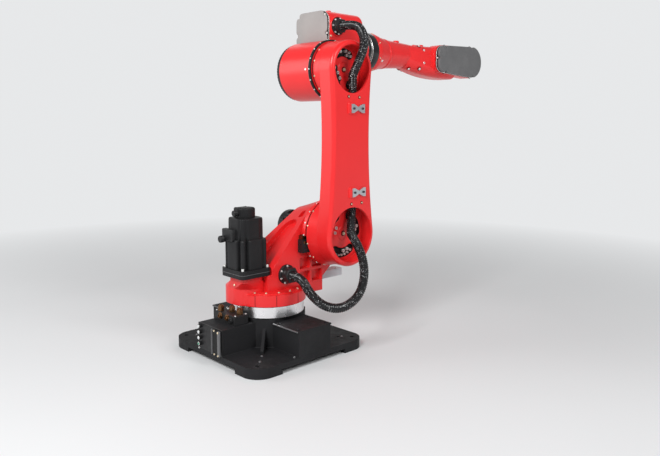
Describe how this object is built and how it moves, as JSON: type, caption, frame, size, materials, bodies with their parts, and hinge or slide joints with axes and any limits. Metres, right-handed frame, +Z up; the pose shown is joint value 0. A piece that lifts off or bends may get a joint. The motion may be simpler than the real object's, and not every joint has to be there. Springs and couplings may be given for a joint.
{
  "type": "industrial robot arm",
  "caption": "Floor-standing jointed robot arm with a square base plate, slewing turret, hollow upper arm, tapered forearm and wrist.",
  "frame": {"origin": "on the waist axis at the floor, at the centre of the square base plate's underside", "axes": "+X is the way the arm points at rest, +Z is up, -Y is the side that carries the upper arm"},
  "size_m": [1.803, 0.7377, 1.54],
  "materials": {
    "base_paint": "satin, fine orange peel",
    "motor_paint": "satin",
    "red_paint": "semi-gloss",
    "ring_steel": "turned",
    "clamp_steel": "brushed",
    "flange_steel": "ground",
    "brass": "satin",
    "black_plastic": "matte",
    "pale_plastic": "matte",
    "cover_plastic": "fine grain",
    "seal_rubber": "matte",
    "conduit": "ribbed"
  },
  "bodies": {
    "base": {"base_plate": "base_paint", "corner_feet": "base_paint", "cable_beam": "base_paint", "side_beams": "base_paint", "beam_lids": "base_paint", "base_column": "base_paint", "cable_panel": "black_plastic", "panel_sockets": "black_plastic", "terminal_block": "black_plastic", "brass_fittings": "brass", "slewing_ring": "ring_steel"},
    "turret": {"turret_casting": "red_paint", "waist_motor_flange": "motor_paint", "waist_motor": "motor_paint", "waist_motor_cap": "black_plastic", "waist_motor_plugs": "black_plastic", "shoulder_ring": "seal_rubber", "shoulder_motor": "motor_paint", "shoulder_motor_cap": "black_plastic", "limit_block": "black_plastic", "limit_block_cap": "brass", "bumper": "pale_plastic", "turret_gland": "black_plastic", "lower_conduit": "conduit"},
    "upper_arm": {"upper_arm_casting": "red_paint", "shoulder_hub": "red_paint", "elbow_hub": "red_paint", "lower_clamp": "clamp_steel", "upper_clamp": "clamp_steel", "arm_conduit": "conduit"},
    "elbow": {"elbow_ring": "seal_rubber", "elbow_casting": "red_paint", "elbow_end_cap": "black_plastic", "rear_gasket": "seal_rubber", "rear_cover": "cover_plastic", "elbow_gland": "black_plastic", "upper_conduit": "conduit", "roll_band": "black_plastic"},
    "forearm": {"forearm_casting": "red_paint", "wrist_gasket": "seal_rubber", "wrist_cover": "cover_plastic"},
    "wrist": {"wrist_housing": "red_paint"},
    "tool": {"tool_flange": "flange_steel"}
  },
  "joints": [
    {"name": "waist", "type": "hinge", "parent": "base", "child": "turret", "pos_m": [0, 0, 0.2], "axis": [0, 0, 1], "range_deg": [-155, 155]},
    {"name": "shoulder", "type": "hinge", "parent": "turret", "child": "upper_arm", "pos_m": [0.262, 0, 0.523], "axis": [0, 1, 0], "range_deg": [-65, 90]},
    {"name": "elbow", "type": "hinge", "parent": "upper_arm", "child": "elbow", "pos_m": [0.262, 0, 1.263], "axis": [0, -1, 0], "range_deg": [-75, 110]},
    {"name": "forearm_roll", "type": "hinge", "parent": "elbow", "child": "forearm", "pos_m": [0.636, 0, 1.38], "axis": [1, 0, 0], "range_deg": [-180, 180]},
    {"name": "wrist_bend", "type": "hinge", "parent": "forearm", "child": "wrist", "pos_m": [1.38, 0, 1.38], "axis": [0, -1, 0], "range_deg": [-25, 205]},
    {"name": "tool_roll", "type": "hinge", "parent": "wrist", "child": "tool", "pos_m": [1.38, 0, 1.29], "axis": [0, 0, -1], "range_deg": [-360, 360]}
  ]
}
